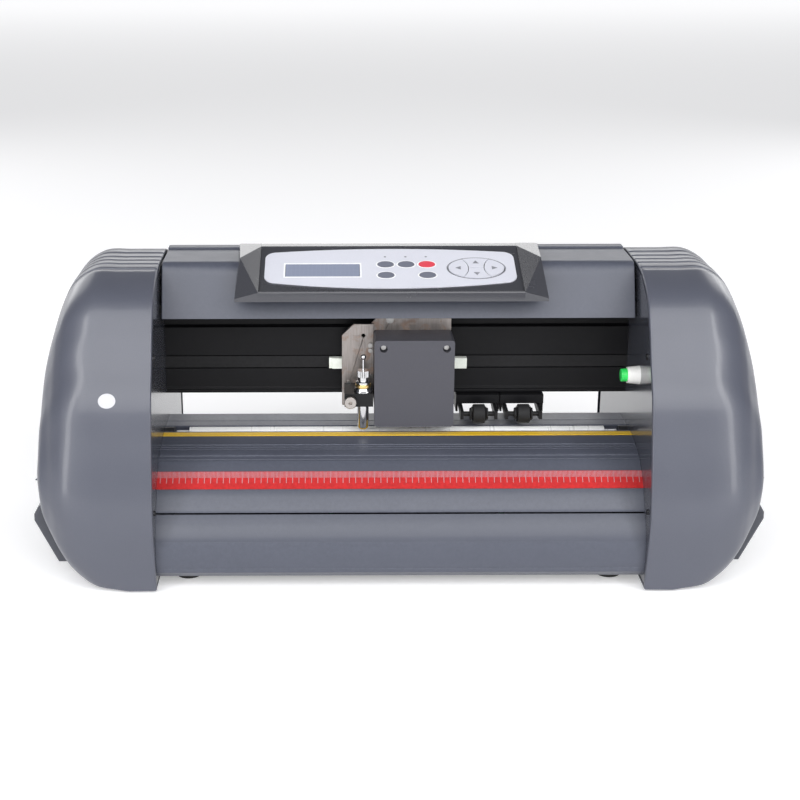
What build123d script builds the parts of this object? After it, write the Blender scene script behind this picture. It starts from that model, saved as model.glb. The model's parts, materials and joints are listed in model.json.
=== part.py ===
from build123d import *
import math
import os

# Desktop vinyl cutter. Millimetres, +Z up, +X to the right, the user's side is -Y.
# The origin is the centre of the footprint, at the height of the surface it stands on.

# --- overall frame -----------------------------------------------------------------
INNER_HALF = 192.5            # half the clear width between the two side plates
PLATE = 2.0                   # side plate sheet
SHELL = 2.5                   # moulded wall
RUN = 0.05                    # radial running clearance of a shaft in its hole
GAP = 0.3                     # clearance between pieces that slide past each other
BASE_Z = 1.5                  # lower edge of the end caps above the table

# --- end caps ----------------------------------------------------------------------
# Side profile at the inner edge, from the front foot over the top to the back foot.
CAP_PROFILE = [
    (-118, BASE_Z), (-122.5, 28), (-126, 60), (-121.5, 92), (-113, 126), (-104, 156),
    (-91.5, 178), (-79, 203), (-64, 225), (-36, 239), (10, 242), (52, 239.5),
    (88, 220), (112, 178), (124, 118), (126, 62), (118, BASE_Z),
]
CAP_TOP = 242.0
CAP_DEPTH = 126.0             # half the cap's front-to-back depth
# Stations across the cap: distance from the middle, lowest and highest point, depth factor.
CAP_STATIONS = [
    (INNER_HALF, BASE_Z, CAP_TOP, 1.0), (222, BASE_Z, CAP_TOP, 1.0), (242.5, 3.5, 241.6, 0.997),
    (252.3, 9, 237, 0.985), (261, 16, 228.7, 0.966), (268.4, 25.5, 215.5, 0.936), (275.5, 38, 196, 0.892),
    (282.2, 54, 170.5, 0.85), (285.1, 70, 142, 0.785), (286.6, 82, 116, 0.735),
]
GROOVE_Y = [-28, -15.5, -3, 10, 23.5]
GROOVE_WIDTH, GROOVE_DEPTH = 3.2, 1.3
VENT_Z = [(86, 112), (121, 148), (157, 186)]

# --- paper path --------------------------------------------------------------------
PLATEN_TOP = 102.3
ROLLER_Y, ROLLER_Z, ROLLER_R, ROLLER_HALF = -18.0, 95.5, 7.8, 172.3
BEARING_R, BEARING_X = 8.0, (184.5, 194.5)
SLOT_Y, STRIP_Y = (-37.0, -27.0), (-36.0, -28.0)
SLOT_DEPTH = 1.6
GEAR_MODULE, ROLLER_TEETH, PINION_TEETH = 1.0, 48, 16
GEAR_CENTRES = GEAR_MODULE * (ROLLER_TEETH + PINION_TEETH) / 2
GEAR_X = (199.0, 205.0)

# --- rail, belt and carriage -------------------------------------------------------
BEAM_FRONT, BEAM_BACK, BEAM_BOTTOM, BEAM_TOP, BEAM_STEP_Z = 2.0, 46.0, 127.5, 214.0, 185.5
GUIDE_Z = (195.5, 204.5)      # guide rib on the beam
BELT_Z = (149.2, 159.0)
PULLEY_X, PULLEY_Y, BELT_R, BELT_T = 214.0, 15.0, 11.0, 1.4
PLATE_Y = (-7.0, -4.0)        # carriage plate, front and back face
COVER_X, COVER_Z, COVER_FRONT = (-19.3, 45.3), (111.0, 184.0), -40.0
TOOL_X, TOOL_Y = -28.2, -32.0
WHEEL_CLEAR_Z = 126.0         # carriage parts behind the tool stay above this

# --- pinch wheels ------------------------------------------------------------------
PINCH_X = {"left": 68.0, "right": 104.9}
PINCH_WIDTH, WHEEL_R, WHEEL_WIDTH = 36.2, 8.0, 10.0
WHEEL_Y, WHEEL_Z = ROLLER_Y, 114.7
PIVOT_Y, PIVOT_Z = 14.0, 119.0

# --- casing and control panel ------------------------------------------------------
CASING_HALF = 190.5
CASING_TOP, CASING_FOOT, LIP_TOP = 242.5, 200.0, 244.0
PANEL_X, PANEL_HALF, TRAY_HALF, WINDOW_HALF = -6.5, 123.6, 105.0, 116.0
TRAY_SLOPE = math.degrees(math.atan(0.337))
TRAY = Plane(origin=(PANEL_X, -15, 237.23), x_dir=(1, 0, 0),
             z_dir=(0, -math.sin(math.radians(TRAY_SLOPE)), math.cos(math.radians(TRAY_SLOPE))))
MEMBRANE_T = 0.8
KEY_RISE = 0.5
OVAL_KEYS = {"key_pause": (-3.5, 5.5), "key_speed": (13.1, 5.5), "key_setting": (29.8, 5.5),
             "key_test": (-3.5, -10.7), "key_origin": (29.8, -10.7)}
OVAL_SIZE = (6.5, 4.3)
PAD_CENTRE, PAD_SIZE = (69.4, -0.7), (23.0, 15.4)

# --- pause button on the right wall and mains switch in the back wall ----------------
PAUSE_Y, PAUSE_Z = -50.0, 158.0
ROCKER_Y, ROCKER_Z, ROCKER_PIN_R = 107.0, 24.0, 0.6


def block(x, y, z):
    """Axis-aligned box between pairs of x, y and z."""
    size = (x[1] - x[0], y[1] - y[0], z[1] - z[0])
    return Pos(sum(x) / 2, sum(y) / 2, sum(z) / 2) * Box(*size)


def prism_x(points, x):
    """Prism along X of an outline given in (Y, Z)."""
    outline = make_face(Plane.YZ.offset(x[0]) * Polyline(*points, close=True))
    return extrude(outline, amount=x[1] - x[0], dir=(1, 0, 0))


def prism_y(points, y):
    """Prism along Y of an outline given in (X, Z)."""
    lifted = [(px, y[0], pz) for px, pz in points]
    return extrude(make_face(Polyline(*lifted, close=True)), amount=y[1] - y[0], dir=(0, 1, 0))


def rod_x(radius, x, y, z):
    """Round bar along X."""
    return Pos((x[0] + x[1]) / 2, y, z) * Rot(0, 90, 0) * Cylinder(radius, x[1] - x[0])


def rod_y(radius, x, y, z):
    """Round bar along Y."""
    return Pos(x, (y[0] + y[1]) / 2, z) * Rot(90, 0, 0) * Cylinder(radius, y[1] - y[0])


def rod_z(radius, x, y, z):
    """Round bar along Z."""
    return Pos(x, y, (z[0] + z[1]) / 2) * Cylinder(radius, z[1] - z[0])


def mirrored(shape):
    """The same piece on the other end of the machine."""
    return mirror(shape, about=Plane.YZ)


# --- end caps, side plates and base ------------------------------------------------
def cap_outline(inset, low=BASE_Z, high=CAP_TOP, depth=1.0):
    """Side outline of the cap between two heights, shrunk by an inset."""
    scale_y = depth - inset / CAP_DEPTH
    scale_z = (high - low - 2 * inset) / (CAP_TOP - BASE_Z)
    return [(y * scale_y, low + inset + (z - BASE_Z) * scale_z) for y, z in CAP_PROFILE]


def cap_body(inset):
    """Solid of the right end cap's outside, shrunk by an inset."""
    sections = []
    for x, low, high, depth in CAP_STATIONS:
        points = cap_outline(inset, low, high, depth)
        plane = Plane.YZ.offset(x - (inset if x > INNER_HALF else 0.0))
        sections.append(make_face(plane * Polyline(*points, close=True)))
    return loft(sections, ruled=True)


def end_cap():
    """Right end cap: an open moulded shell with five grooves that turn into side vents."""
    outside = cap_body(0)
    skin = cap_body(GROOVE_DEPTH)
    shell = outside - cap_body(SHELL)
    for y in GROOVE_Y:
        slab = block((INNER_HALF - 5, 300), (y - GROOVE_WIDTH / 2, y + GROOVE_WIDTH / 2), (80, 250))
        shell -= slab - skin
        for low, high in VENT_Z:
            shell -= block((240, 300), (y - GROOVE_WIDTH / 2, y + GROOVE_WIDTH / 2), (low, high))
    return shell


def side_plate(side):
    """Folded steel side plate that carries the beam, the platen and the drive."""
    plate = prism_x(cap_outline(SHELL + 0.6), (INNER_HALF, INNER_HALF + PLATE))
    plate &= block((190, 200), (-130, 112), (6, 250))
    plate -= block((190, 196), (PULLEY_Y - 14, PULLEY_Y + 14), (145, 164))
    plate -= rod_x(BEARING_R, (190, 196), ROLLER_Y, ROLLER_Z)
    tab_z = 143.0
    tab = block((INNER_HALF + PLATE, 236), (-6, 36), (tab_z - 3, tab_z))
    plate += tab
    if side == "right":
        plate += rod_z(2.5, PULLEY_X, PULLEY_Y, (tab_z, 163.0))
        plate -= rod_x(3.3, (190, 196), PAUSE_Y, PAUSE_Z)
        return plate
    return mirrored(plate - rod_z(4, PULLEY_X, PULLEY_Y, (tab_z - 5, tab_z + 5)))


def side_foot():
    """Side foot and grip below the curve of the right end cap."""
    outline = [(236, 11), (275.6, 11), (294.5, 50), (288, 61), (236, 61)]
    foot = prism_y(outline, (-84, 84))
    foot = chamfer(foot.edges().filter_by(Axis.Z, reverse=True).group_by(Axis.X)[-1], 3)
    return foot - cap_body(-0.3)


def base_pan():
    """Bent steel pan: floor, back wall and the deck that slopes up to the platen."""
    pan = prism_x([(-100, 6), (106, 6), (106, 44.5), (54.5, 64.5), (53.8, 62.6), (104, 43.2),
                   (104, 8), (-100, 8)], (-INNER_HALF, INNER_HALF))
    pan -= block((101.5, 148.5), (100, 110), (13.5, 34.5))
    pan -= block((84, 96.5), (100, 110), (16, 27.5))
    pan -= block((40, 73), (100, 110), (16, 28))
    return pan


def rubber_feet():
    """Four round feet under the pan."""
    places = [(x, y) for x in (-170, 170) for y in (-82, 88)]
    return Compound(children=[rod_z(10, x, y, (0, 6)) for x, y in places])


# --- paper path --------------------------------------------------------------------
def clear_of_bearings(platen):
    """Cut the seats of both roller bearings out of a platen's ends."""
    seat = rod_x(BEARING_R + GAP, (BEARING_X[0] - GAP, INNER_HALF + 1), ROLLER_Y, ROLLER_Z)
    return platen - seat - mirrored(seat)


def front_platen():
    """Extruded table: flat behind, curving down at the front, with a seat for both strips."""
    top = [(-25.4, PLATEN_TOP), (-37.2, PLATEN_TOP), (-50, 100.3), (-64, 97.2), (-73, 93.6), (-79.5, 88.6),
           (-92.8, 76.8), (-96.5, 72.2), (-102, 64.2), (-102.6, 61.5)]
    under = [(-99.8, 61), (-93.6, 70.5), (-90.6, 74.2), (-77.6, 85.8), (-71.6, 90.8), (-62.8, 94.3),
             (-49.6, 97.4), (-37.4, 99.4), (-29.5, 99.4), (-29.5, 88), (-27, 88), (-27, 99.4), (-25.4, 99.4)]
    platen = clear_of_bearings(prism_x(top + under, (-INNER_HALF, INNER_HALF)))
    platen -= block((-INNER_HALF, INNER_HALF), SLOT_Y, (PLATEN_TOP - SLOT_DEPTH, 110))
    for y, z in ((-55, 99.2), (-58, 98.5), (-71, 94.5)):
        platen -= block((-INNER_HALF, INNER_HALF), (y - 0.4, y + 0.4), (z - 0.6, z + 2))
    return platen


def rear_platen():
    """Extruded table behind the roller, rounded down at the back."""
    outline = [(-10.6, PLATEN_TOP), (19, PLATEN_TOP), (27, 100), (36, 94), (44, 85), (49.5, 75), (52.5, 64.5),
               (49.8, 64), (46.8, 74), (41.6, 83.6), (34.2, 91.8), (25.8, 97.2), (18.4, 99.3), (-6.5, 99.3),
               (-6.5, 88), (-9, 88), (-9, 100.6), (-10.6, 100.6)]
    platen = clear_of_bearings(prism_x(outline, (-INNER_HALF, INNER_HALF)))
    platen -= block((-INNER_HALF, INNER_HALF), (0.7, 1.9), (PLATEN_TOP - 0.7, 110))
    return platen


def cutting_strip():
    """Soft strip that the blade runs over."""
    return block((-INNER_HALF, INNER_HALF), STRIP_Y, (PLATEN_TOP - SLOT_DEPTH, PLATEN_TOP + 0.2))


def ruler_strip():
    """Self-adhesive ruler on the front slope of the platen."""
    start, end = (-80.6, 87.6), (-92.2, 77.35)
    length = math.dist(start, end)
    normal = ((start[1] - end[1]) / -length, (start[0] - end[0]) / length)
    lift = [(p[0] + normal[0] * 0.7, p[1] + normal[1] * 0.7) for p in (end, start)]
    return prism_x([start, end] + lift, (-INNER_HALF, INNER_HALF)) - front_platen()


def front_cover():
    """Lower front panel under the platen's edge."""
    outer = [(-103.2, 60.5), (-109, 54), (-113, 46), (-115.5, 37), (-116, 26), (-113.5, 15), (-105.5, 8.6)]
    inner = [(-103, 10.6), (-111.2, 16), (-113.5, 26), (-113, 36.6), (-110.8, 45), (-107, 52.6),
             (-101.5, 58.9)]
    cover = prism_x(outer + inner, (-INNER_HALF, INNER_HALF))
    for z in (41.5, 18.5):
        cover -= block((-INNER_HALF, INNER_HALF), (-120, -114.1), (z, z + 0.9))
    return cover


def drive_roller():
    """Grit roller with stepped shaft ends."""
    roller = rod_x(ROLLER_R, (-ROLLER_HALF, ROLLER_HALF), ROLLER_Y, ROLLER_Z)
    roller += rod_x(5, (-183, 183), ROLLER_Y, ROLLER_Z)
    roller += rod_x(4, (-197, 207), ROLLER_Y, ROLLER_Z)
    return roller


def roller_bearings():
    """Two ball bearings in the side plates."""
    ring = rod_x(BEARING_R, BEARING_X, ROLLER_Y, ROLLER_Z) - rod_x(4 + RUN, (180, 200), ROLLER_Y, ROLLER_Z)
    return Compound(children=[ring, mirrored(ring)])


def gear(teeth, bore, y, z, phase):
    """Spur gear along X, centred on y and z; phase is in teeth."""
    pitch_r = GEAR_MODULE * teeth / 2
    root_r, tip_r = pitch_r - 1.2 * GEAR_MODULE, pitch_r + 0.8 * GEAR_MODULE
    points = []
    for tooth in range(teeth):
        for radius, share in ((root_r, -0.32), (tip_r, -0.12), (tip_r, 0.12), (root_r, 0.32)):
            angle = 2 * math.pi * (tooth + phase + share) / teeth
            points.append((y + radius * math.cos(angle), z + radius * math.sin(angle)))
    return prism_x(points, GEAR_X) - rod_x(bore, (190, 210), y, z)


def feed_motor():
    """Stepping motor for the roller, on two spacers."""
    z = ROLLER_Z - GEAR_CENTRES
    body = block((208, 248), (ROLLER_Y - 21, ROLLER_Y + 21), (z - 21, z + 21))
    body = chamfer(body.edges().filter_by(Axis.X), 4)
    for y in (-15.5, 15.5):
        body += rod_x(3, (INNER_HALF + PLATE, 208), ROLLER_Y + y, z - 15.5)
    return body - rod_x(3, (207, 212), ROLLER_Y, z)


def motor_pinion():
    """Pinion on the feed motor's shaft."""
    z = ROLLER_Z - GEAR_CENTRES
    return gear(PINION_TEETH, 2.5, ROLLER_Y, z, 0.5 + PINION_TEETH / 4) + rod_x(2.5, (198, 211), ROLLER_Y, z)


# --- rail and belt -----------------------------------------------------------------
def rail_beam():
    """Hollow aluminium beam with a belt channel, a slider groove and a slot underneath."""
    beam = prism_x([
        (BEAM_FRONT - 1, BEAM_BOTTOM), (BEAM_BACK, BEAM_BOTTOM), (BEAM_BACK, BEAM_TOP), (6, BEAM_TOP),
        (6, BEAM_STEP_Z), (BEAM_FRONT, BEAM_STEP_Z - 1.5), (BEAM_FRONT, 132.6), (BEAM_FRONT - 1, 131.6),
    ], (-INNER_HALF, INNER_HALF))
    length = (-INNER_HALF, INNER_HALF)
    beam -= block(length, (BEAM_FRONT - 2, 5.2), (BELT_Z[0] - 0.8, BELT_Z[1] + 0.8))
    beam -= block(length, (20.5, 42.5), (146.5, 163))
    beam -= block(length, (9.5, 42.5), (134.5, 143.5))
    beam -= block(length, (9.5, 42.5), (166, 210.5))
    beam -= block(length, (12, 18), (BEAM_BOTTOM - 1, 131))
    beam -= block(length, (0, 1.6), (129.4, 130.4))
    return beam + block(length, (0, 6), GUIDE_Z)


def carriage_belt():
    """Toothed belt round both pulleys."""
    def loop(radius):
        ends = rod_z(radius, PULLEY_X, PULLEY_Y, BELT_Z) + rod_z(radius, -PULLEY_X, PULLEY_Y, BELT_Z)
        return ends + block((-PULLEY_X, PULLEY_X), (PULLEY_Y - radius, PULLEY_Y + radius), BELT_Z)
    return loop(BELT_R + BELT_T) - loop(BELT_R)


def belt_pulley(x, bore):
    """Flanged belt pulley on a vertical axis."""
    pulley = rod_z(BELT_R - GAP, x, PULLEY_Y, (146.8, 161.4))
    for low, high in ((146.8, 148.2), (160.0, 161.4)):
        pulley += rod_z(BELT_R + 2.5, x, PULLEY_Y, (low, high))
    return pulley - rod_z(bore, x, PULLEY_Y, (140, 170))


def motor_pulley():
    """Belt pulley with the carriage motor's shaft in it."""
    return belt_pulley(-PULLEY_X, 2.5) + rod_z(2.5, -PULLEY_X, PULLEY_Y, (137, 164))


def carriage_motor():
    """Stepping motor for the carriage, hung under the left side plate's tab."""
    body = block((-PULLEY_X - 19, -PULLEY_X + 19), (PULLEY_Y - 19, PULLEY_Y + 19), (98, 140))
    body = chamfer(body.edges().filter_by(Axis.Z), 4)
    return body - rod_z(3, -PULLEY_X, PULLEY_Y, (136, 141))


# --- carriage ----------------------------------------------------------------------
def carriage_plate():
    """Steel plate that hangs from the guide block and carries everything on the carriage."""
    plate = prism_y([(-21, 128), (44.5, 128), (44.5, 212), (-12, 212), (-12, 199), (-21, 190), (-21, 160.5),
                     (-45, 160.5), (-45, 147.5), (-21, 147.5)], PLATE_Y)
    for x in (-6, 5, 30):
        plate -= rod_y(1.6, x, (-9, -2), 197 if x > 0 else 193)
    return plate


def bearing_block():
    """Guide block that wraps the beam's guide rib."""
    body = block((-14, 38), (PLATE_Y[1], 4.4), (190, 210))
    return body - block((-20, 44), (-RUN, 8), (GUIDE_Z[0] - RUN, GUIDE_Z[1] + RUN))


def carriage_cover():
    """Moulded cover, open at the back; its lower back is cut away over the pinch wheels."""
    back = PLATE_Y[0]
    cover = block(COVER_X, (COVER_FRONT, back), COVER_Z)
    cover = fillet(cover.edges().filter_by(Axis.Y), 2.5)
    hollow = block((COVER_X[0] + 1.8, COVER_X[1] - 1.8), (COVER_FRONT + 1.8, back + 1),
                   (COVER_Z[0] + 1.8, COVER_Z[1] - 1.8))
    cover -= hollow
    cover -= block((-30, 60), (-27.4, back + 1), (100, WHEEL_CLEAR_Z))
    for x in (-11.9, 38.9):
        cover += rod_y(4.2, x, (COVER_FRONT, -30), 177.0)
        cover -= rod_y(3.1, x, (COVER_FRONT - 1, -34), 177.0)
        cover -= rod_y(1.6, x, (COVER_FRONT - 1, -20), 177.0)
    return cover


def carriage_screws():
    """Cover screws, plate screws and the small screws beside the tool."""
    screws = [rod_y(2.0, x, (-35.4, -34), 177.0) + rod_y(1.5, x, (-34, -8), 177.0) for x in (-11.9, 38.9)]
    screws += [rod_y(3.0, x, (-9.4, -7), z) + rod_y(1.5, x, (-7, -4.2), z) for x, z in ((-6, 193), (5, 197))]
    tool_side = ((-22, 172), (-22, 167.6), (-22, 145.4), (-40, 139.5))
    screws += [rod_y(1.8, x, (-12, -10), z) for x, z in tool_side]
    return Compound(children=screws)


def tool_plate():
    """Bare steel plate beside the cover, with a cut corner."""
    plate = prism_y([(-45.4, 120), (-19.4, 120), (-19.4, 189.7), (-35.8, 189.7), (-45.4, 180.1)],
                    (PLATE_Y[0] - 3, PLATE_Y[0]))
    return plate - rod_y(1.6, -27.7, (-12, -5), 179.9)


def belt_clamps():
    """White nylon clamps that hold the belt ends to the carriage plate."""
    left = block((-56, -38), (PLATE_Y[1], 2.1), (149.6, 158.6))
    left -= block((-57, -53.6), (-5, -2.6), (149, 160))
    right = block((40, 58.4), (PLATE_Y[1], 2.1), (149.6, 158.6))
    return Compound(children=[left, right])


def lifter_coil():
    """Coil that lifts and presses the tool, inside the cover."""
    return rod_z(10, 12, -19, (134, 172)) + block((0, 24), (-31, -7), (130, 134))


def holder_block():
    """Black block that grips the blade holder and slides up and down on the tool plate."""
    front = block((-43.5, -20.2), (-40, -27.5), (128.4, 139.4))
    bridge = block((-43.5, -20.2), (-27.5, -10.3), (131, 139.4))
    grip = front + bridge
    grip -= rod_z(5.5, TOOL_X, TOOL_Y, (120, 140))
    grip -= rod_y(2 + RUN, -38.7, (-41, -31), 132.8)
    grip -= block((-41.8, -38.2), (-13, -10.2), (136, 141))
    return grip


def blade_holder():
    """Turned blade holder: nose, barrel, flange and neck, with the blade's point."""
    pieces = [(4.7, 106.9, 128.4), (5.5, 128.4, 139.4), (7.6, 139.4, 141), (6.0, 141, 145.2),
              (5.4, 145.2, 148.4), (4.4, 148.4, 151.6)]
    holder = rod_z(pieces[0][0], TOOL_X, TOOL_Y, pieces[0][1:])
    for radius, low, high in pieces[1:]:
        holder += rod_z(radius, TOOL_X, TOOL_Y, (low, high))
    holder += rod_z(0.5, TOOL_X, TOOL_Y, (106.1, 107))
    return holder - rod_z(1.0 + RUN, TOOL_X, TOOL_Y, (142, 153))


def depth_cap():
    """Knurled cap that sets how far the blade stands out."""
    points = []
    ridges = 24
    for step in range(ridges * 2):
        radius = 5.1 if step % 2 else 4.7
        angle = math.pi * step / ridges
        points.append((TOOL_X + radius * math.cos(angle), TOOL_Y + radius * math.sin(angle), 151.9))
    cap = extrude(make_face(Polyline(*points, close=True)), amount=5.2, dir=(0, 0, 1))
    return cap - rod_z(1.0 + RUN, TOOL_X, TOOL_Y, (151, 159))


def eject_pin():
    """Sprung pin with a ball end that pushes the blade out."""
    pin = rod_z(1.0, TOOL_X, TOOL_Y, (145.5, 167.5))
    return pin + Pos(TOOL_X, TOOL_Y, 168.3) * Sphere(2.3)


def clamp_screw():
    """Thumb screw that locks the blade holder."""
    screw = rod_y(5.1, -38.7, (-44.2, -40.4), 132.8)
    screw = chamfer(screw.edges().filter_by(GeomType.CIRCLE), 0.5)
    screw += rod_y(2.0, -38.7, (-41, -34), 132.8)
    hexagon = Pos(-38.7, -43.5, 132.8) * Rot(90, 0, 0) * extrude(RegularPolygon(1.6, 6), amount=3, both=True)
    return screw - hexagon


# --- pinch wheels ------------------------------------------------------------------
def pinch_housing(x):
    """Inverted channel that slides along the slot under the beam."""
    half = PINCH_WIDTH / 2
    body = block((x - half, x + half), (-6, 40), (112, BEAM_BOTTOM - GAP))
    body -= block((x - half + 1.8, x + half - 1.8), (-4.2, 41), (111, 124.6))
    body -= block((x - half - 1, x + half + 1), (-7, -4), (111, 119.6))
    body += block((x - half, x + half), (12 + GAP, 18 - GAP), (BEAM_BOTTOM - GAP, 130.7))
    return body - rod_x(2 + RUN, (x - half - 1, x + half + 1), PIVOT_Y, PIVOT_Z)


def pinch_arm(x):
    """Rocking fork that carries the wheel's axle; its back end is the finger tab."""
    arm = None
    for side in (-1, 1):
        cheek = prism_x([(-22.5, 111.2), (-14, 110.4), (18, 114.8), (20, 122), (8, 122.6), (-3, 118.6),
                         (-22.5, 118)], (-1.3, 1.3))
        cheek = Pos(x + side * 14.0, 0, 0) * cheek
        arm = cheek if arm is None else arm + cheek
    arm += block((x - 14, x + 14), (14, 20), (116, 121.5))
    arm += block((x - 8, x + 8), (19, 60), (118.4, 120.6))
    arm += block((x - 8, x + 8), (58, 60), (113, 120.6))
    arm += rod_x(2, (x - 17.6, x + 17.6), PIVOT_Y, PIVOT_Z)
    return arm + rod_x(2, (x - 15, x + 15), WHEEL_Y, WHEEL_Z)


def pinch_wheel(x):
    """Rubber pinch wheel with its bored hub."""
    wheel = rod_x(WHEEL_R, (x - WHEEL_WIDTH / 2, x + WHEEL_WIDTH / 2), WHEEL_Y, WHEEL_Z)
    wheel = chamfer(wheel.edges().filter_by(GeomType.CIRCLE), 0.6)
    wheel += rod_x(5.0, (x - 7.5, x + 7.5), WHEEL_Y, WHEEL_Z)
    return wheel - rod_x(2 + RUN, (x - 10, x + 10), WHEEL_Y, WHEEL_Z)


# --- casing and control panel ------------------------------------------------------
CASING_OUTER = [(-31, CASING_FOOT), (-18.2, 234), (-16, 239), (-12, 242), (-8, CASING_TOP), (36, CASING_TOP)]


def casing_fill(lift):
    """Everything inside the casing's outside, raised by a small clearance."""
    points = [(y - lift, z + lift) for y, z in CASING_OUTER[:-1]]
    return prism_x(points + [(60, CASING_TOP + lift), (60, CASING_FOOT)], (-CASING_HALF, CASING_HALF))


def top_casing():
    """Folded casing over the beam, with a window under the control panel."""
    inner = [(36, CASING_TOP - 2), (-8, CASING_TOP - 2), (-11, CASING_TOP - 2.5), (-14.2, 238), (-16.2, 233.4),
             (-28, 202), (-20, 202), (-20, CASING_FOOT)]
    casing = prism_x(CASING_OUTER + inner, (-CASING_HALF, CASING_HALF))
    window = TRAY * (Pos(0, 0, 20 - 3.7) * Box(2 * WINDOW_HALF + 0.6, 90, 40))
    return casing - window


def rear_casing():
    """Back half of the casing: raised lip, back wall and lower flange."""
    outline = [(36.2, CASING_TOP - 2), (36.2, LIP_TOP), (46, LIP_TOP), (57, 240.6), (63, 236.2), (66, 229),
               (66, 136), (47, 136), (47, 138), (64, 138), (64, 228.6), (61.5, 234.8), (56.2, 238.7),
               (45.8, LIP_TOP - 2), (38.2, LIP_TOP - 2), (38.2, CASING_TOP - 2)]
    return prism_x(outline, (-CASING_HALF, CASING_HALF))


def below(shape, first, second, third):
    """What lies under the plane through three points."""
    across = second - first
    facet = Plane(origin=first, x_dir=across, z_dir=across.cross(third - first))
    return split(shape, bisect_by=facet, keep=Keep.TOP if facet.z_dir.Z < 0 else Keep.BOTTOM)


def panel_cheek():
    """Right cheek of the panel housing: a peak with a front, an inner, an outer and a top facet."""
    foot = Vector(PANEL_HALF, -53.6, 222.4)
    ridge = Vector(TRAY_HALF, -53.6, 227.3)
    peak = Vector(120.3, -22, 248.3)
    outer = Vector(PANEL_HALF - 0.4, 26, 249.4)
    inner = Vector(TRAY_HALF, 16, 249.2)
    body = block((TRAY_HALF, PANEL_HALF), (-53.6, 26), (219.9, 252))
    for corners in ((foot, ridge, peak), (ridge, inner, peak), (foot, peak, outer), (peak, inner, outer)):
        body = below(body, *corners)
    in_window = prism_x([(-60, 219.9), (-49, 219.9), (-44, 224), (11.5, CASING_TOP + 0.2),
                         (26, CASING_TOP + 0.2), (26, 255), (-60, 255)], (TRAY_HALF, WINDOW_HALF))
    return (body & in_window) + (body - casing_fill(0.2))


def panel_housing():
    """Control panel housing: sunken tray between two peaked cheeks."""
    tray = prism_x([(-53.6, 219.9), (-53.4, 226.6), (-52.4, 228.0), (-46.5, 226.6), (14, 247.0), (16, 249.2),
                    (26, 249.2), (26, CASING_TOP + 0.2), (11.5, CASING_TOP + 0.2), (-44, 224), (-49, 219.9)],
                   (PANEL_X - TRAY_HALF, PANEL_X + TRAY_HALF))
    cheek = panel_cheek()
    return tray + Pos(PANEL_X, 0, 0) * (cheek + mirrored(cheek))


def panel_shape(points_or_face, low, high):
    """Extrude a flat outline on the tray between two heights."""
    return TRAY * Pos(0, 0, low) * extrude(points_or_face, amount=high - low)


def oval(size, grow=0.0):
    """Elliptical face."""
    return Ellipse(size[0] + grow, size[1] + grow)


def arrow_faces():
    """Four key faces of the arrow pad: left and right lenses, upper and lower middles."""
    half_x, half_y = PAD_SIZE
    pad = oval((half_x - 0.6, half_y - 0.6))
    lens = Pos(-half_x, 0) * oval((17, 19))
    left = pad & (Pos(-half_x, 0) * oval((16.4, 18.4)))
    right = mirror(left, about=Plane.YZ)
    middle = pad - lens - mirror(lens, about=Plane.YZ)
    up = middle & (Pos(0, half_y / 2 + 0.4) * Rectangle(40, half_y))
    down = middle & (Pos(0, -half_y / 2 - 0.4) * Rectangle(40, half_y))
    return {"key_left": left, "key_right": right, "key_up": up, "key_down": down}


def membrane():
    """Overlay with bowed edges and holes for the display and keys."""
    outline = make_face([
        ThreePointArc((-92, 24.5), (0, 29.6), (92, 24.5)),
        ThreePointArc((92, 24.5), (98.6, 21.5), (101, 15)),
        Line((101, 15), (101, -12)),
        ThreePointArc((101, -12), (98.6, -18.5), (92, -21.5)),
        ThreePointArc((92, -21.5), (0, -29.6), (-92, -21.5)),
        ThreePointArc((-92, -21.5), (-98.6, -18.5), (-101, -12)),
        Line((-101, -12), (-101, 15)),
        ThreePointArc((-101, 15), (-98.6, 21.5), (-92, 24.5)),
    ])
    sheet = panel_shape(outline, 0.0, MEMBRANE_T)
    sheet -= TRAY * Pos(-54.4, -3.0, 0) * Box(60, 19, 6)
    for place in OVAL_KEYS.values():
        sheet -= TRAY * Pos(place[0], place[1], -2) * extrude(oval(OVAL_SIZE, GAP), amount=6)
    sheet -= TRAY * Pos(PAD_CENTRE[0], PAD_CENTRE[1], -2) * extrude(oval(PAD_SIZE), amount=6)
    return sheet


def lcd_display():
    """Glass of the display, set in the overlay's window."""
    return TRAY * Pos(-54.4, -3.0, 0.35) * Box(59.4, 18.4, 0.7)


def oval_key(place):
    """One oval key, with room to travel under it."""
    return panel_shape(Pos(place[0], place[1]) * oval(OVAL_SIZE), KEY_RISE, MEMBRANE_T + KEY_RISE)


def arrow_key(face):
    """One key of the arrow pad."""
    return panel_shape(Pos(PAD_CENTRE[0], PAD_CENTRE[1]) * face, KEY_RISE, MEMBRANE_T + KEY_RISE)


# --- electrics and the wall button -------------------------------------------------
def main_board():
    """Circuit board on the pan with its two data sockets at the back wall."""
    board = block((-60, 100), (20, 98), (14, 16))
    board += block((84.4, 96.1), (90, 106), (16.2, 27.2)) + block((40.4, 72.6), (90, 106), (16.2, 27.7))
    board += block((84.4, 96.1), (90, 98), (15, 17)) + block((40.4, 72.6), (90, 98), (15, 17))
    for x, y in ((-55, 25), (95, 25), (-55, 93)):
        board += rod_z(3, x, y, (8, 14))
    board -= block((86.5, 94), (98, 110), (18.5, 25))
    return board - block((43, 70), (100, 110), (18.5, 25.5))


def power_inlet():
    """Mains inlet with its switch frame, in the back wall."""
    body = block((120.2, 147.8), (78, 106), (14.2, 33.8)) + block((98, 151), (106, 108), (12, 36))
    body -= block((122.5, 145.5), (88, 109), (16.5, 31.5))
    for x in (127, 134, 141):
        body += block((x - 1, x + 1), (86, 104), (22, 26))
    body -= block((102, 116), (96, 109), (14, 34))
    return body - rod_x(ROCKER_PIN_R + RUN, (100, 118), ROCKER_Y, ROCKER_Z)


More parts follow.
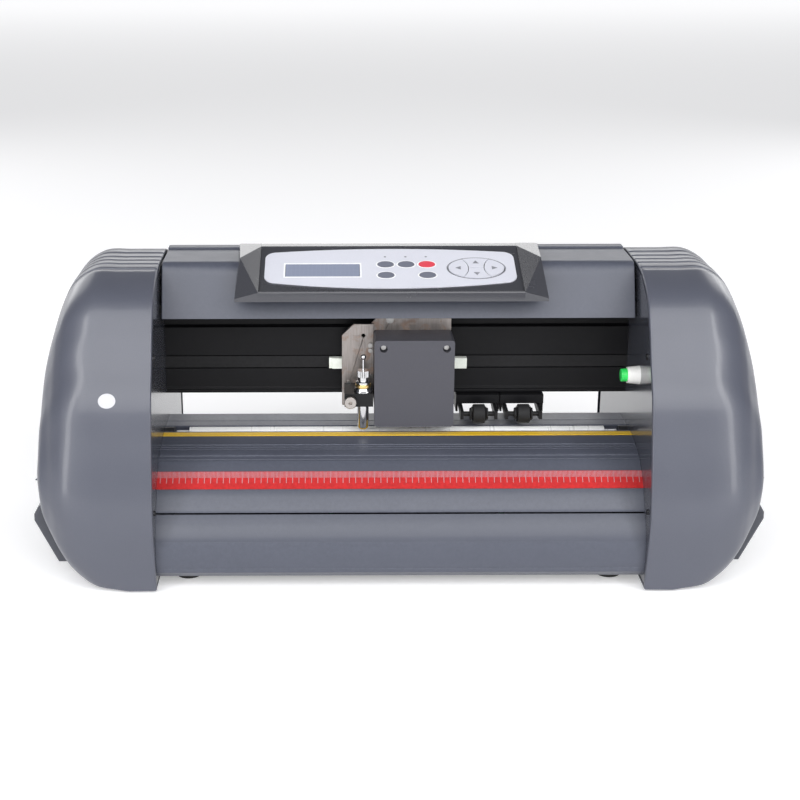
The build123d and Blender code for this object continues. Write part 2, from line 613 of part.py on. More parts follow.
def power_switch():
    """Rocker of the mains switch, on its two pivot pins."""
    rocker = prism_x([(104, 15), (110.8, 15), (108.6, 24), (109.4, 33), (104, 33)], (103, 115))
    return rocker + rod_x(ROCKER_PIN_R, (101, 117), ROCKER_Y, ROCKER_Z)


def pause_bezel():
    """White tapered collar of the pause button, with its stem through the right wall."""
    x = INNER_HALF
    collar = Pos(x - 5, PAUSE_Y, PAUSE_Z) * Rot(0, -90, 0) * Cone(7.5, 6.5, 10)
    collar += rod_x(3.2, (x, x + 12), PAUSE_Y, PAUSE_Z)
    return collar - rod_x(5.2 + GAP, (x - 11, x - 3), PAUSE_Y, PAUSE_Z)


def pause_button():
    """Green cap of the pause button."""
    x = INNER_HALF
    cap = rod_x(5.2, (x - 15, x - 6), PAUSE_Y, PAUSE_Z)
    return fillet(cap.faces().sort_by(Axis.X)[0].edges(), 0.8)


def wall_screws():
    """Screws in both side plates near their front edge."""
    screws = []
    for y, z in ((-77, 181.5), (-114, 66)):
        head = rod_x(2.2, (INNER_HALF - 1.2, INNER_HALF), y, z)
        screws += [head, mirrored(head)]
    return Compound(children=screws)


def all_parts():
    """Every sub-part, by node name."""
    cap = end_cap()
    foot = side_foot()
    parts = {
        "right_end_cap": cap,
        "left_end_cap": mirrored(cap),
        "right_side_plate": side_plate("right"),
        "left_side_plate": side_plate("left"),
        "side_feet": Compound(children=[foot, mirrored(foot)]),
        "base_pan": base_pan(),
        "rubber_feet": rubber_feet(),
        "front_platen": front_platen(),
        "rear_platen": rear_platen(),
        "cutting_strip": cutting_strip(),
        "ruler_strip": ruler_strip(),
        "front_cover": front_cover(),
        "drive_roller": drive_roller(),
        "roller_bearings": roller_bearings(),
        "roller_gear": gear(ROLLER_TEETH, 4.0, ROLLER_Y, ROLLER_Z, ROLLER_TEETH * 0.75),
        "feed_motor": feed_motor(),
        "motor_pinion": motor_pinion(),
        "rail_beam": rail_beam(),
        "carriage_belt": carriage_belt(),
        "motor_pulley": motor_pulley(),
        "idler_pulley": belt_pulley(PULLEY_X, 2.5 + RUN),
        "carriage_motor": carriage_motor(),
        "carriage_plate": carriage_plate(),
        "bearing_block": bearing_block(),
        "carriage_cover": carriage_cover(),
        "carriage_screws": carriage_screws(),
        "tool_plate": tool_plate(),
        "belt_clamps": belt_clamps(),
        "lifter_coil": lifter_coil(),
        "holder_block": holder_block(),
        "blade_holder": blade_holder(),
        "depth_cap": depth_cap(),
        "eject_pin": eject_pin(),
        "clamp_screw": clamp_screw(),
        "top_casing": top_casing(),
        "rear_casing": rear_casing(),
        "panel_housing": panel_housing(),
        "membrane": membrane(),
        "lcd_display": lcd_display(),
        "main_board": main_board(),
        "power_inlet": power_inlet(),
        "power_switch": power_switch(),
        "pause_bezel": pause_bezel(),
        "pause_button": pause_button(),
        "wall_screws": wall_screws(),
    }
    for side, x in PINCH_X.items():
        parts[side + "_pinch_housing"] = pinch_housing(x)
        parts[side + "_pinch_arm"] = pinch_arm(x)
        parts[side + "_pinch_wheel"] = pinch_wheel(x)
    for name, place in OVAL_KEYS.items():
        parts[name] = oval_key(place)
    for name, face in arrow_faces().items():
        parts[name] = arrow_key(face)
    return parts


os.makedirs("parts", exist_ok=True)
for node, shape in all_parts().items():
    export_step(shape, f"parts/{node}.step")
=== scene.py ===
import json
import math

import bmesh
import bpy
import numpy as np
from mathutils import Matrix, Vector
from mathutils.bvhtree import BVHTree


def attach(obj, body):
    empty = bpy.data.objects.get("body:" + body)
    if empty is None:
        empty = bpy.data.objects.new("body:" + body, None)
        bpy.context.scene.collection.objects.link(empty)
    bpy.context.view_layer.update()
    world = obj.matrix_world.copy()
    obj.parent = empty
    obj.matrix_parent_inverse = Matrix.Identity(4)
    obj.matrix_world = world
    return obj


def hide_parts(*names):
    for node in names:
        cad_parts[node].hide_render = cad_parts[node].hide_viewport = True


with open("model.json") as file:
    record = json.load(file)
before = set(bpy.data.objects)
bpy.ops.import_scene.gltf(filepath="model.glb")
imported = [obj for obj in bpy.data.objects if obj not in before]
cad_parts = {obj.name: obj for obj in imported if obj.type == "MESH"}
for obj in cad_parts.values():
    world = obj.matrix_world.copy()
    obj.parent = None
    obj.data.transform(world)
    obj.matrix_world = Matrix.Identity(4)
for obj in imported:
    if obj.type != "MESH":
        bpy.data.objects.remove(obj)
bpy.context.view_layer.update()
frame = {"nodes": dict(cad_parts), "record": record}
NODES = frame["nodes"]
RECORD = frame["record"]
MM = 0.001

# Finish of each material slot: base colour, roughness, metallic, grain size (mm), grain depth (mm).
FINISHES = {
    "grey_plastic": ((0.074, 0.079, 0.103), 0.37, 0.0, 0.55, 0.010),
    "casing_grey": ((0.066, 0.072, 0.096), 0.40, 0.0, 0.60, 0.006),
    "side_plate_grey": ((0.046, 0.049, 0.062), 0.25, 0.0, 0.90, 0.004),
    "foot_grey": ((0.050, 0.053, 0.066), 0.34, 0.0, 0.50, 0.010),
    "black_steel": ((0.030, 0.030, 0.033), 0.42, 0.0, 0.50, 0.010),
    "rubber": ((0.020, 0.020, 0.020), 0.80, 0.0, 0.50, 0.020),
    "yellow_strip": ((0.720, 0.440, 0.015), 0.45, 0.0, 0.60, 0.008),
    "red_ruler": ((0.400, 0.010, 0.011), 0.42, 0.0, 0.80, 0.004),
    "roller_steel": ((0.880, 0.885, 0.890), 0.50, 0.15, 0.35, 0.040),
    "gear_brass": ((0.720, 0.520, 0.220), 0.30, 1.0, 0.50, 0.006),
    "bearing_black": ((0.050, 0.050, 0.055), 0.35, 0.6, 0.50, 0.006),
    "black_aluminium": ((0.0055, 0.0055, 0.0065), 0.42, 0.0, 0.40, 0.008),
    "belt_rubber": ((0.010, 0.010, 0.011), 0.60, 0.0, 0.40, 0.020),
    "motor_metal": ((0.060, 0.060, 0.065), 0.45, 0.6, 0.50, 0.010),
    "pulley_aluminium": ((0.750, 0.750, 0.760), 0.32, 1.0, 0.50, 0.006),
    "bare_steel": ((0.330, 0.300, 0.285), 0.42, 1.0, 0.45, 0.010),
    "cover_grey": ((0.058, 0.058, 0.070), 0.46, 0.0, 0.45, 0.012),
    "screw_steel": ((0.340, 0.335, 0.330), 0.30, 1.0, 0.40, 0.006),
    "white_nylon": ((0.720, 0.760, 0.690), 0.45, 0.0, 0.60, 0.030),
    "coil_copper": ((0.450, 0.200, 0.080), 0.35, 0.8, 0.40, 0.010),
    "black_holder": ((0.008, 0.008, 0.009), 0.42, 0.0, 0.40, 0.010),
    "chrome_tool": ((0.600, 0.600, 0.610), 0.12, 1.0, 0.60, 0.002),
    "nickel_screw": ((0.430, 0.400, 0.380), 0.28, 1.0, 0.40, 0.005),
    "wheel_rubber": ((0.016, 0.016, 0.017), 0.62, 0.0, 0.40, 0.030),
    "panel_grey": ((0.040, 0.041, 0.049), 0.26, 0.0, 0.70, 0.003),
    "membrane_silver": ((0.640, 0.650, 0.720), 0.40, 0.0, 0.35, 0.006),
    "lcd_glass": ((0.200, 0.230, 0.320), 0.16, 0.0, 0.60, 0.001),
    "board_green": ((0.020, 0.120, 0.050), 0.45, 0.0, 0.60, 0.010),
    "socket_black": ((0.020, 0.020, 0.020), 0.45, 0.0, 0.40, 0.010),
    "switch_black": ((0.018, 0.018, 0.018), 0.22, 0.0, 0.60, 0.003),
    "white_button": ((0.780, 0.780, 0.760), 0.30, 0.0, 0.60, 0.004),
    "green_button": ((0.030, 0.640, 0.110), 0.30, 0.0, 0.60, 0.004),
    "key_grey": ((0.150, 0.160, 0.205), 0.40, 0.0, 0.35, 0.005),
    "key_red": ((0.680, 0.055, 0.085), 0.40, 0.0, 0.35, 0.005),
    "key_silver": ((0.620, 0.630, 0.700), 0.40, 0.0, 0.35, 0.006),
}


# --- camera, lights and floor --------------------------------------------------------
FLOOR_REACH, FLOOR_GAP = 30, 0.0005


def add_camera():
    """Camera a little left of the middle, looking down at the front of the cutter."""
    data = bpy.data.cameras.new("camera")
    data.sensor_width = 36.0
    data.lens = 67.5
    data.shift_x = 0.0806
    camera = bpy.data.objects.new("camera", data)
    camera.location = (-0.0508, -1.1964, 0.5174)
    tilt = Matrix.Rotation(math.radians(71.67), 4, "X")
    roll = Matrix.Rotation(-0.003, 4, "Z")
    camera.matrix_world = Matrix.Translation(camera.location) @ tilt @ roll
    bpy.context.scene.collection.objects.link(camera)
    bpy.context.scene.camera = camera


def add_softbox(name, azimuth, elevation, distance, size, power):
    """Rectangular light aimed at the middle of the cutter; azimuth 0 is straight in front."""
    data = bpy.data.lights.new(name, "AREA")
    data.shape = "RECTANGLE"
    data.size, data.size_y = size
    data.energy = power
    light = bpy.data.objects.new(name, data)
    a, e = math.radians(azimuth), math.radians(elevation)
    away = Vector((math.sin(a) * math.cos(e), -math.cos(a) * math.cos(e), math.sin(e)))
    light.location = Vector((0, 0, 0.12)) + away * distance
    light.rotation_mode = "QUATERNION"
    light.rotation_quaternion = away.to_track_quat("Z", "Y")
    light.visible_camera = False
    bpy.context.scene.collection.objects.link(light)


def add_studio():
    """Large softboxes before and behind, a dim surround and a pale floor."""
    add_softbox("front_softbox", 2, 37, 2.4, (3.3, 1.75), 62)
    add_softbox("left_front_strip", -44, 18, 2.4, (0.34, 2.2), 21)
    add_softbox("right_front_strip", 42, 18, 2.4, (0.34, 2.2), 19)
    add_softbox("rear_softbox", 180, 19, 9.0, (17.0, 3.1), 350)
    add_softbox("left_softbox", -135, 20, 2.4, (1.0, 1.8), 9)
    add_softbox("right_softbox", 135, 20, 2.4, (1.0, 1.8), 9)
    world = bpy.data.worlds.new("surround")
    world.use_nodes = True
    world.node_tree.nodes["Background"].inputs["Color"].default_value = (0.95, 0.96, 1.0, 1)
    world.node_tree.nodes["Background"].inputs["Strength"].default_value = 0.20
    bpy.context.scene.world = world
    bpy.context.scene.view_settings.view_transform = "Standard"
    corners = [(x * FLOOR_REACH, y * FLOOR_REACH, 0) for x, y in ((-1, -1), (1, -1), (1, 1), (-1, 1))]
    floor = mesh_object("studio_floor", corners, [(0, 1, 2, 3)])
    floor.location.z = -FLOOR_GAP
    paint = bpy.data.materials.new("floor_paint")
    paint.use_nodes = True
    shader = paint.node_tree.nodes["Principled BSDF"]
    shader.inputs["Base Color"].default_value = (0.86, 0.86, 0.87, 1)
    shader.inputs["Roughness"].default_value = 0.9
    shader.inputs["Emission Color"].default_value = (1, 1, 1, 1)
    shader.inputs["Emission Strength"].default_value = 0.30
    floor.data.materials.append(paint)


# --- mesh helpers --------------------------------------------------------------------
def mesh_object(name, points, faces, smooth=False):
    """New object from points in metres and faces."""
    mesh = bpy.data.meshes.new(name)
    mesh.from_pydata([tuple(p) for p in points], [], [tuple(f) for f in faces])
    mesh.validate()
    mesh.update()
    for face in mesh.polygons:
        face.use_smooth = smooth
    made = bpy.data.objects.new(name, mesh)
    bpy.context.scene.collection.objects.link(made)
    return made


def add_piece(made, body, slot, material=None, replaces=()):
    """Put a piece on its body with the finish of a slot."""
    made.data.materials.clear()
    made.data.materials.append(material or MATERIALS[slot])
    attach(made, body)
    if replaces:
        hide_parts(*replaces)
    return made


def soften(made, width, segments=2, angle=35):
    """Rounded edges by a bevel, with smooth shading that keeps its flat faces flat."""
    made.modifiers.new("weld", "WELD").merge_threshold = 0.002 * MM
    bevel = made.modifiers.new("bevel", "BEVEL")
    bevel.width = width * MM
    bevel.segments = segments
    bevel.limit_method = "ANGLE"
    bevel.angle_limit = math.radians(angle)
    bevel.use_clamp_overlap = True
    normals = made.modifiers.new("weighted_normals", "WEIGHTED_NORMAL")
    normals.keep_sharp = True
    for face in made.data.polygons:
        face.use_smooth = True


# --- materials -----------------------------------------------------------------------
class Shader:
    """Node tree of one material, built up in a few calls."""

    def __init__(self, name, colour, roughness, metallic):
        self.material = bpy.data.materials.new(name)
        self.material.use_nodes = True
        self.tree = self.material.node_tree
        self.surface = self.tree.nodes["Principled BSDF"]
        self.surface.inputs["Base Color"].default_value = (*colour, 1)
        self.surface.inputs["Roughness"].default_value = roughness
        self.surface.inputs["Metallic"].default_value = metallic
        self.place = self.node("ShaderNodeTexCoord").outputs["Object"]

    def node(self, kind, **settings):
        made = self.tree.nodes.new(kind)
        for key, value in settings.items():
            setattr(made, key, value)
        return made

    def link(self, source, target):
        self.tree.links.new(source, target)

    def scaled_place(self, scale):
        mapping = self.node("ShaderNodeMapping")
        mapping.inputs["Scale"].default_value = scale
        self.link(self.place, mapping.inputs["Vector"])
        return mapping.outputs["Vector"]

    def noise(self, size_mm, detail=2.0, roughness=0.5, stretch=None, distortion=0.0):
        """Noise with features of about that size."""
        noise = self.node("ShaderNodeTexNoise")
        noise.inputs["Scale"].default_value = 1000.0 / size_mm
        noise.inputs["Detail"].default_value = detail
        noise.inputs["Roughness"].default_value = roughness
        noise.inputs["Distortion"].default_value = distortion
        self.link(self.scaled_place(stretch) if stretch else self.place, noise.inputs["Vector"])
        return noise.outputs["Fac"]

    def map_range(self, value, low, high, to_low, to_high):
        mapped = self.node("ShaderNodeMapRange")
        limits = {"From Min": low, "From Max": high, "To Min": to_low, "To Max": to_high}
        for key, number in limits.items():
            mapped.inputs[key].default_value = number
        self.link(value, mapped.inputs["Value"])
        return mapped.outputs["Result"]

    def mix(self, factor, first, second):
        """Blend of two colours; each is a socket or a colour."""
        mixed = self.node("ShaderNodeMix", data_type="RGBA")
        self.link(factor, mixed.inputs["Factor"])
        for socket, value in ((mixed.inputs[6], first), (mixed.inputs[7], second)):
            if isinstance(value, bpy.types.NodeSocket):
                self.link(value, socket)
            else:
                socket.default_value = (*value, 1)
        return mixed.outputs[2]

    def bump(self, height, depth_mm, strength=1.0):
        """Adds a height to the surface's bump."""
        bump = self.node("ShaderNodeBump")
        bump.inputs["Strength"].default_value = strength
        bump.inputs["Distance"].default_value = depth_mm * MM
        self.link(height, bump.inputs["Height"])
        target = self.surface.inputs["Normal"]
        if target.is_linked:
            self.link(target.links[0].from_socket, bump.inputs["Normal"])
        self.link(bump.outputs["Normal"], target)


def shade(colour, share):
    """The colour made lighter or darker."""
    return tuple(min(1.0, c * share) for c in colour)


def edge_wear(shader, base, worn, amount):
    """Lighter convex edges, broken up by noise."""
    point = shader.node("ShaderNodeNewGeometry").outputs["Pointiness"]
    edge = shader.map_range(point, 0.52, 0.60, 0.0, amount)
    worn_spots = shader.map_range(shader.noise(3.0, 3), 0.35, 0.65, 0.0, 1.0)
    both = shader.node("ShaderNodeMath", operation="MULTIPLY")
    shader.link(edge, both.inputs[0])
    shader.link(worn_spots, both.inputs[1])
    return shader.mix(both.outputs[0], base, worn)


UNWORN = ("grey_plastic", "membrane_silver", "key_silver", "key_grey", "key_red", "lcd_glass")


def basic_finish(slot):
    """Grain, uneven colour and uneven gloss of a slot's finish."""
    colour, roughness, metallic, grain, depth = FINISHES[slot]
    shader = Shader(slot, colour, roughness, metallic)
    patches = shader.map_range(shader.noise(38.0, 3), 0.3, 0.7, 0.0, 1.0)
    tone = shader.mix(patches, shade(colour, 0.98), shade(colour, 1.02))
    flecks = shader.map_range(shader.noise(grain * 1.6, 1), 0.35, 0.75, 0.0, 0.40)
    tone = shader.mix(flecks, tone, shade(colour, 1.16))
    if slot not in UNWORN:
        tone = edge_wear(shader, tone, shade(colour, 1.55), 0.5)
    shader.link(tone, shader.surface.inputs["Base Color"])
    smears = shader.noise(16.0, 4, 0.6)
    gloss = shader.map_range(smears, 0.3, 0.7, roughness * 0.95, roughness * 1.06)
    shader.link(gloss, shader.surface.inputs["Roughness"])
    shader.bump(shader.noise(grain, 2), depth)
    return shader


def stained_steel():
    """Bare brushed steel with brown stains."""
    shader = basic_finish("bare_steel")
    colour = FINISHES["bare_steel"][0]
    scratches = shader.noise(0.9, 2, 0.6, stretch=(1.0, 1.0, 0.06))
    bright = shader.mix(shader.map_range(scratches, 0.3, 0.7, 0, 1), shade(colour, 0.86), shade(colour, 1.12))
    stain = shader.map_range(shader.noise(11.0, 5, 0.62, distortion=0.6), 0.54, 0.68, 0.0, 0.75)
    brown = shader.mix(shader.noise(2.4, 2), (0.20, 0.115, 0.075), (0.33, 0.20, 0.14))
    shader.link(shader.mix(stain, bright, brown), shader.surface.inputs["Base Color"])
    metal = shader.map_range(stain, 0.0, 0.75, 1.0, 0.35)
    shader.link(metal, shader.surface.inputs["Metallic"])
    shader.link(shader.map_range(stain, 0.0, 0.75, 0.36, 0.62), shader.surface.inputs["Roughness"])
    shader.bump(scratches, 0.01)
    return shader


def knurled_steel():
    """Roller steel with a fine grit that grips the vinyl."""
    shader = basic_finish("roller_steel")
    shader.bump(shader.noise(0.8, 2, 0.7), 0.05, 0.6)
    rings = shader.noise(2.2, 1, stretch=(1.0, 0.05, 0.05))
    shader.link(shader.map_range(rings, 0.3, 0.7, 0.26, 0.44), shader.surface.inputs["Roughness"])
    return shader


def lcd_cells():
    """Dim display glass with two rows of character cells."""
    shader = basic_finish("lcd_glass")
    brick = shader.node("ShaderNodeTexBrick", offset=0.0)
    brick.inputs["Scale"].default_value = 1.0
    brick.inputs["Brick Width"].default_value = 3.3 * MM
    brick.inputs["Row Height"].default_value = 6.2 * MM
    brick.inputs["Mortar Size"].default_value = 0.35 * MM
    brick.inputs["Color1"].default_value = (0.25, 0.28, 0.38, 1)
    brick.inputs["Color2"].default_value = (0.255, 0.285, 0.385, 1)
    brick.inputs["Mortar"].default_value = (0.265, 0.297, 0.40, 1)
    shader.link(shader.place, brick.inputs["Vector"])
    shader.link(brick.outputs["Color"], shader.surface.inputs["Base Color"])
    shader.surface.inputs["Coat Weight"].default_value = 0.6
    return shader


SPECIAL_FINISHES = {"bare_steel": stained_steel, "roller_steel": knurled_steel, "lcd_glass": lcd_cells}
# Specular level of the slots with less reflection than plain plastic, and weight of the clear coats.
SHEEN = {
    "black_aluminium": 0.16, "belt_rubber": 0.2, "black_holder": 0.25, "wheel_rubber": 0.2,
    "cover_grey": 0.35,
}
COATED = {"grey_plastic": 0.25, "panel_grey": 0.3, "side_plate_grey": 0.5, "switch_black": 0.3}


def make_materials():
    """One material for each slot of the record."""
    made = {}
    for slot in FINISHES:
        shader = SPECIAL_FINISHES.get(slot, lambda slot=slot: basic_finish(slot))()
        if slot in SHEEN:
            shader.surface.inputs["Specular IOR Level"].default_value = SHEEN[slot]
        if slot in COATED:
            shader.surface.inputs["Coat Weight"].default_value = COATED[slot]
            shader.surface.inputs["Coat Roughness"].default_value = 0.12
        made[slot] = shader.material
    return made


MATERIALS = make_materials()


def finish_nodes():
    """Give every CAD node the material of its slot, and the wall screws a blackened one."""
    for part in RECORD["subparts"]:
        node = NODES[part["node"]]
        node.data.materials.clear()
        node.data.materials.append(MATERIALS[part["material_slot"]])
    blackened = extra_finish("blackened_screw", (0.030, 0.030, 0.033), 0.35, 0.6)
    NODES["wall_screws"].data.materials[0] = blackened


# --- end caps ------------------------------------------------------------------------
CAP_PROFILE = [
    (-118, 1.5), (-122.5, 28), (-126, 60), (-121.5, 92), (-113, 126), (-104, 156),
    (-91.5, 178), (-79, 203), (-64, 225), (-36, 239), (10, 242), (52, 239.5),
    (88, 220), (112, 178), (124, 118), (126, 62), (118, 1.5),
]
CAP_STATIONS = [
    (194.0, 1.5, 242, 1.0), (222, 1.5, 242, 1.0), (242.5, 3.5, 241.6, 0.997), (252.3, 9, 237, 0.985),
    (261, 16, 228.7, 0.966), (268.4, 25.5, 215.5, 0.936), (275.5, 38, 196, 0.892), (282.2, 54, 170.5, 0.85),
    (285.1, 70, 142, 0.785), (286.6, 79, 116, 0.735), (287.3, 81, 86, 0.70),
]
CAP_EDGE, CAP_BOTTOM, CAP_HEIGHT = 192.5, 1.5, 240.5
WALL = 2.5
RIM_RADIUS = 1.5
GROOVES = [-28, -15.5, -3, 10, 23.5]
GROOVE_HALF, GROOVE_DEEP = 1.8, 2.2
# A groove's section: offset in half widths, and share of its depth.
GROOVE_SECTION = [
    (-1.0, 0.0), (-0.82, 0.12), (-0.62, 0.9), (-0.35, 1.0),
    (0.35, 1.0), (0.62, 0.9), (0.82, 0.12), (1.0, 0.0),
]
GROOVE_FLOOR = 0.95
VENTS = [(89, 112), (121, 148), (157, 186)]
SIDE_WALL_X = 240
TOP_MARGIN = 4
# Sections along the cap, and points of a section over its front, back and bottom.
SECTIONS, FRONT_POINTS, BACK_POINTS, BOTTOM_POINTS = 150, 90, 70, 40
# The lower corners are rounded more and more from FOOT_START on, over the height above the bottom.
FOOT_START, FOOT_STEP, FOOT_FULL, FOOT_HEIGHT, FOOT_REACH = 215, 9, 7, 18, 9


def smooth_curve(points, steps):
    """Points on a smooth curve through the given ones, with steps between each pair."""
    points = np.array(points, float)
    chord = np.r_[0, np.cumsum(np.maximum(np.linalg.norm(np.diff(points, axis=0), axis=1), 1e-6))]
    slopes = np.diff(points, axis=0) / np.diff(chord)[:, None]
    tangents = np.vstack([slopes[:1], np.zeros((len(points) - 2, points.shape[1])), slopes[-1:]])
    widths = np.diff(chord)
    for k in range(1, len(points) - 1):
        share = widths[k - 1] / (widths[k - 1] + widths[k])
        tangents[k] = slopes[k - 1] * (1 - share) + slopes[k] * share
    rows = []
    for k in range(len(points) - 1):
        for t in np.arange(steps) / steps:
            h = (2 * t**3 - 3 * t**2 + 1, t**3 - 2 * t**2 + t, -2 * t**3 + 3 * t**2, t**3 - t**2)
            rows.append(h[0] * points[k] + h[1] * widths[k] * tangents[k]
                        + h[2] * points[k + 1] + h[3] * widths[k] * tangents[k + 1])
    return np.array(rows + [points[-1]])


def even_spacing(curve, count):
    """The curve resampled at even distances."""
    reach = np.r_[0, np.cumsum(np.linalg.norm(np.diff(curve, axis=0), axis=1))]
    at = np.linspace(0, reach[-1], count)
    return np.column_stack([np.interp(at, reach, curve[:, k]) for k in range(curve.shape[1])])


def groove_columns():
    """Depths in Y of the mesh columns over the grooved top, with each one's share of groove depth."""
    columns = []
    for y in GROOVES:
        columns += [(y + offset * GROOVE_HALF, depth) for offset, depth in GROOVE_SECTION]
    gaps = [(a + b) / 2 for a, b in zip(GROOVES[:-1], GROOVES[1:])]
    columns += [(g + d, 0.0) for g in gaps for d in (-2.4, 0.0, 2.4)]
    return sorted(columns)


def foot_rounding(loop, low, amount):
    """Round the two lower corners of a section by averaging along it."""
    share = min(1.0, max(0.0, amount / FOOT_FULL))
    weights = np.hanning(2 * FOOT_REACH + 3)[1:-1]
    weights /= weights.sum()
    rounded = loop.copy()
    for k in range(2):
        padded = np.concatenate([loop[-FOOT_REACH:, k], loop[:, k], loop[:FOOT_REACH, k]])
        rounded[:, k] = np.convolve(padded, weights, "valid")
    height = np.clip((loop[:, 1] - low - FOOT_HEIGHT) / FOOT_HEIGHT, 0, 1)[:, None]
    keep = 1 - share * (1 - height)
    return rounded * (1 - keep) + loop * keep


def cap_section(profile, fixed, station):
    """Points round one section of the cap, from its front over the grooved top and down to its bottom."""
    x, low, high, depth = station
    heights = low + (profile[:, 1] - CAP_BOTTOM) * (high - low) / CAP_HEIGHT
    section = np.column_stack([profile[:, 0] * depth, heights])
    top = section[:, 1] > (low + high) / 2
    order = np.argsort(section[top][:, 0])
    ys, zs = section[top][order].T
    crest = np.array([(y, np.interp(y, ys, zs)) for y, _ in fixed])
    y_first, y_last = fixed[0][0] - TOP_MARGIN, fixed[-1][0] + TOP_MARGIN
    front = np.vstack([section[section[:, 0] < y_first], (y_first, np.interp(y_first, ys, zs))])
    back = np.vstack([(y_last, np.interp(y_last, ys, zs)), section[section[:, 0] > y_last]])
    bottom = np.linspace(section[-1], section[0], BOTTOM_POINTS + 2)[1:-1]
    loop = np.vstack([even_spacing(front, FRONT_POINTS), crest, even_spacing(back, BACK_POINTS), bottom])
    return np.column_stack([np.full(len(loop), x), foot_rounding(loop, low, (x - FOOT_START) / FOOT_STEP)])


def cap_grid():
    """Right cap's outside as rows of (x, y, z), each round one section, and each column's groove depth."""
    profile = smooth_curve(CAP_PROFILE, 16)
    fixed = groove_columns()
    stations = even_spacing(smooth_curve(CAP_STATIONS, 24), SECTIONS)
    rows = [cap_section(profile, fixed, station) for station in stations]
    plain = np.zeros(BACK_POINTS + BOTTOM_POINTS)
    return np.array(rows), np.r_[np.zeros(FRONT_POINTS), [d for _, d in fixed], plain]


def surface_normals(grid):
    """Outward normals of a grid whose columns go round and whose rows go along."""
    around = np.roll(grid, -1, axis=1) - np.roll(grid, 1, axis=1)
    along = np.gradient(grid, axis=0)
    normal = np.cross(along, around)
    length = np.linalg.norm(normal, axis=2, keepdims=True)
    normal /= np.maximum(length, 1e-9)
    centre = grid.mean(axis=1, keepdims=True)
    outward = np.sign(((grid - centre) * normal).sum(axis=2).mean())
    return normal * outward


def in_vent(z):
    """Whether a height lies in one of the vents."""
    return any(low < z < high for low, high in VENTS)


def vent_cells(base, depths):
    """Which cells of the outside are cut away: groove floors on the side wall, inside the vents."""
    rows, columns = base.shape[:2]
    open_cell = np.zeros((rows - 1, columns), bool)
    on_floor = depths > GROOVE_FLOOR
    for c in np.flatnonzero(on_floor & np.roll(on_floor, -1)):
        middle = (base[:-1, c, 2] + base[1:, c, 2]) / 2
        open_cell[:, c] = [x > SIDE_WALL_X and in_vent(z) for x, z in zip(base[:-1, c, 0], middle)]
    return open_cell


def rim_loops(outer, inner, normals):
    """Loops of the rounded rim, from the inner edge to the first section of the outside."""
    inward = normals * np.array([0, 1, 1])
    inward /= np.linalg.norm(inward, axis=1, keepdims=True)
    edge = inner.copy()
    edge[:, 0] = CAP_EDGE
    loops = [edge]
    for angle in np.radians((90, 68, 45, 22, 0)):
        shift = RIM_RADIUS * (1 - math.cos(angle))
        ring = outer - inward * shift
        ring[:, 0] = CAP_EDGE + RIM_RADIUS * (1 - math.sin(angle))
        loops.append(ring)
    return loops


def strip_faces(first, second, left_out):
    """Faces between two loops of points, apart from those left out."""
    columns = len(left_out)
    steps = [(c, (c + 1) % columns) for c in range(columns) if not left_out[c]]
    return [(first + c, first + d, second + d, second + c) for c, d in steps]


def vent_walls(open_cell, outer_row, inner_row):
    """Faces through the thickness of the shell, round every vent."""
    columns = open_cell.shape[1]
    walls = []
    for k, c in np.argwhere(open_cell):
        d = (c + 1) % columns
        sides = (
            ((k - 1, c), (k, c), (k, d)), ((k + 1, c), (k + 1, d), (k + 1, c)),
            ((k, c - 1), (k + 1, c), (k, c)), ((k, d), (k, d), (k + 1, d)),
        )
        for neighbour, a, b in sides:
            if not open_cell[neighbour]:
                walls.append((outer_row[a[0]] + a[1], outer_row[b[0]] + b[1],
                              inner_row[b[0]] + b[1], inner_row[a[0]] + a[1]))
    return walls


def clean_shell(made):
    """Turn the faces outward and drop the points that no face uses."""
    mesh = bmesh.new()
    mesh.from_mesh(made.data)
    bmesh.ops.recalc_face_normals(mesh, faces=mesh.faces)
    bmesh.ops.delete(mesh, geom=[v for v in mesh.verts if not v.link_faces], context="VERTS")
    mesh.to_mesh(made.data)
    mesh.free()
    return made


def end_cap_mesh(side):
    """One end cap as a moulded shell: rounded rim, grooves, and slots cut through for the vents."""
    base, depths = cap_grid()
    normals = surface_normals(base)
    rows, columns = base.shape[:2]
    start = np.clip((base[:, :, 0] - base[0, 0, 0]) / 3, 0, 1)
    outer = base - normals * (depths * GROOVE_DEEP)[None, :, None] * (0.25 + 0.75 * start[:, :, None])
    inner = base - normals * WALL
    rim = rim_loops(outer[0], inner[0], normals[0])
    points = np.concatenate(rim + list(outer[1:]) + list(inner)) * MM
    if side == "left":
        points[:, 0] *= -1
    head = len(rim) - 1
    outer_row = [(head + k) * columns for k in range(rows)]
    inner_row = [(head + rows + k) * columns for k in range(rows)]
    open_cell, whole = vent_cells(base, depths), np.zeros(columns, bool)
    faces = []
    for k in range(head):
        faces += strip_faces(k * columns, (k + 1) * columns, whole)
    for k in range(rows - 1):
        faces += strip_faces(outer_row[k], outer_row[k + 1], open_cell[k])
        faces += strip_faces(inner_row[k + 1], inner_row[k], open_cell[k])
    faces += strip_faces(inner_row[0], 0, whole)
    faces += vent_walls(open_cell, outer_row, inner_row)
    faces.append([outer_row[-1] + c for c in range(columns)])
    faces.append([inner_row[-1] + c for c in reversed(range(columns))])
    return clean_shell(mesh_object(side + "_cap_shell", points, faces, smooth=True))


def add_end_caps():
    """Both end caps in place of the faceted CAD ones."""
    for side in ("left", "right"):
        cap = end_cap_mesh(side)
        cap.data.set_sharp_from_angle(angle=math.radians(50))
        add_piece(cap, "root", "grey_plastic", replaces=[side + "_end_cap"])


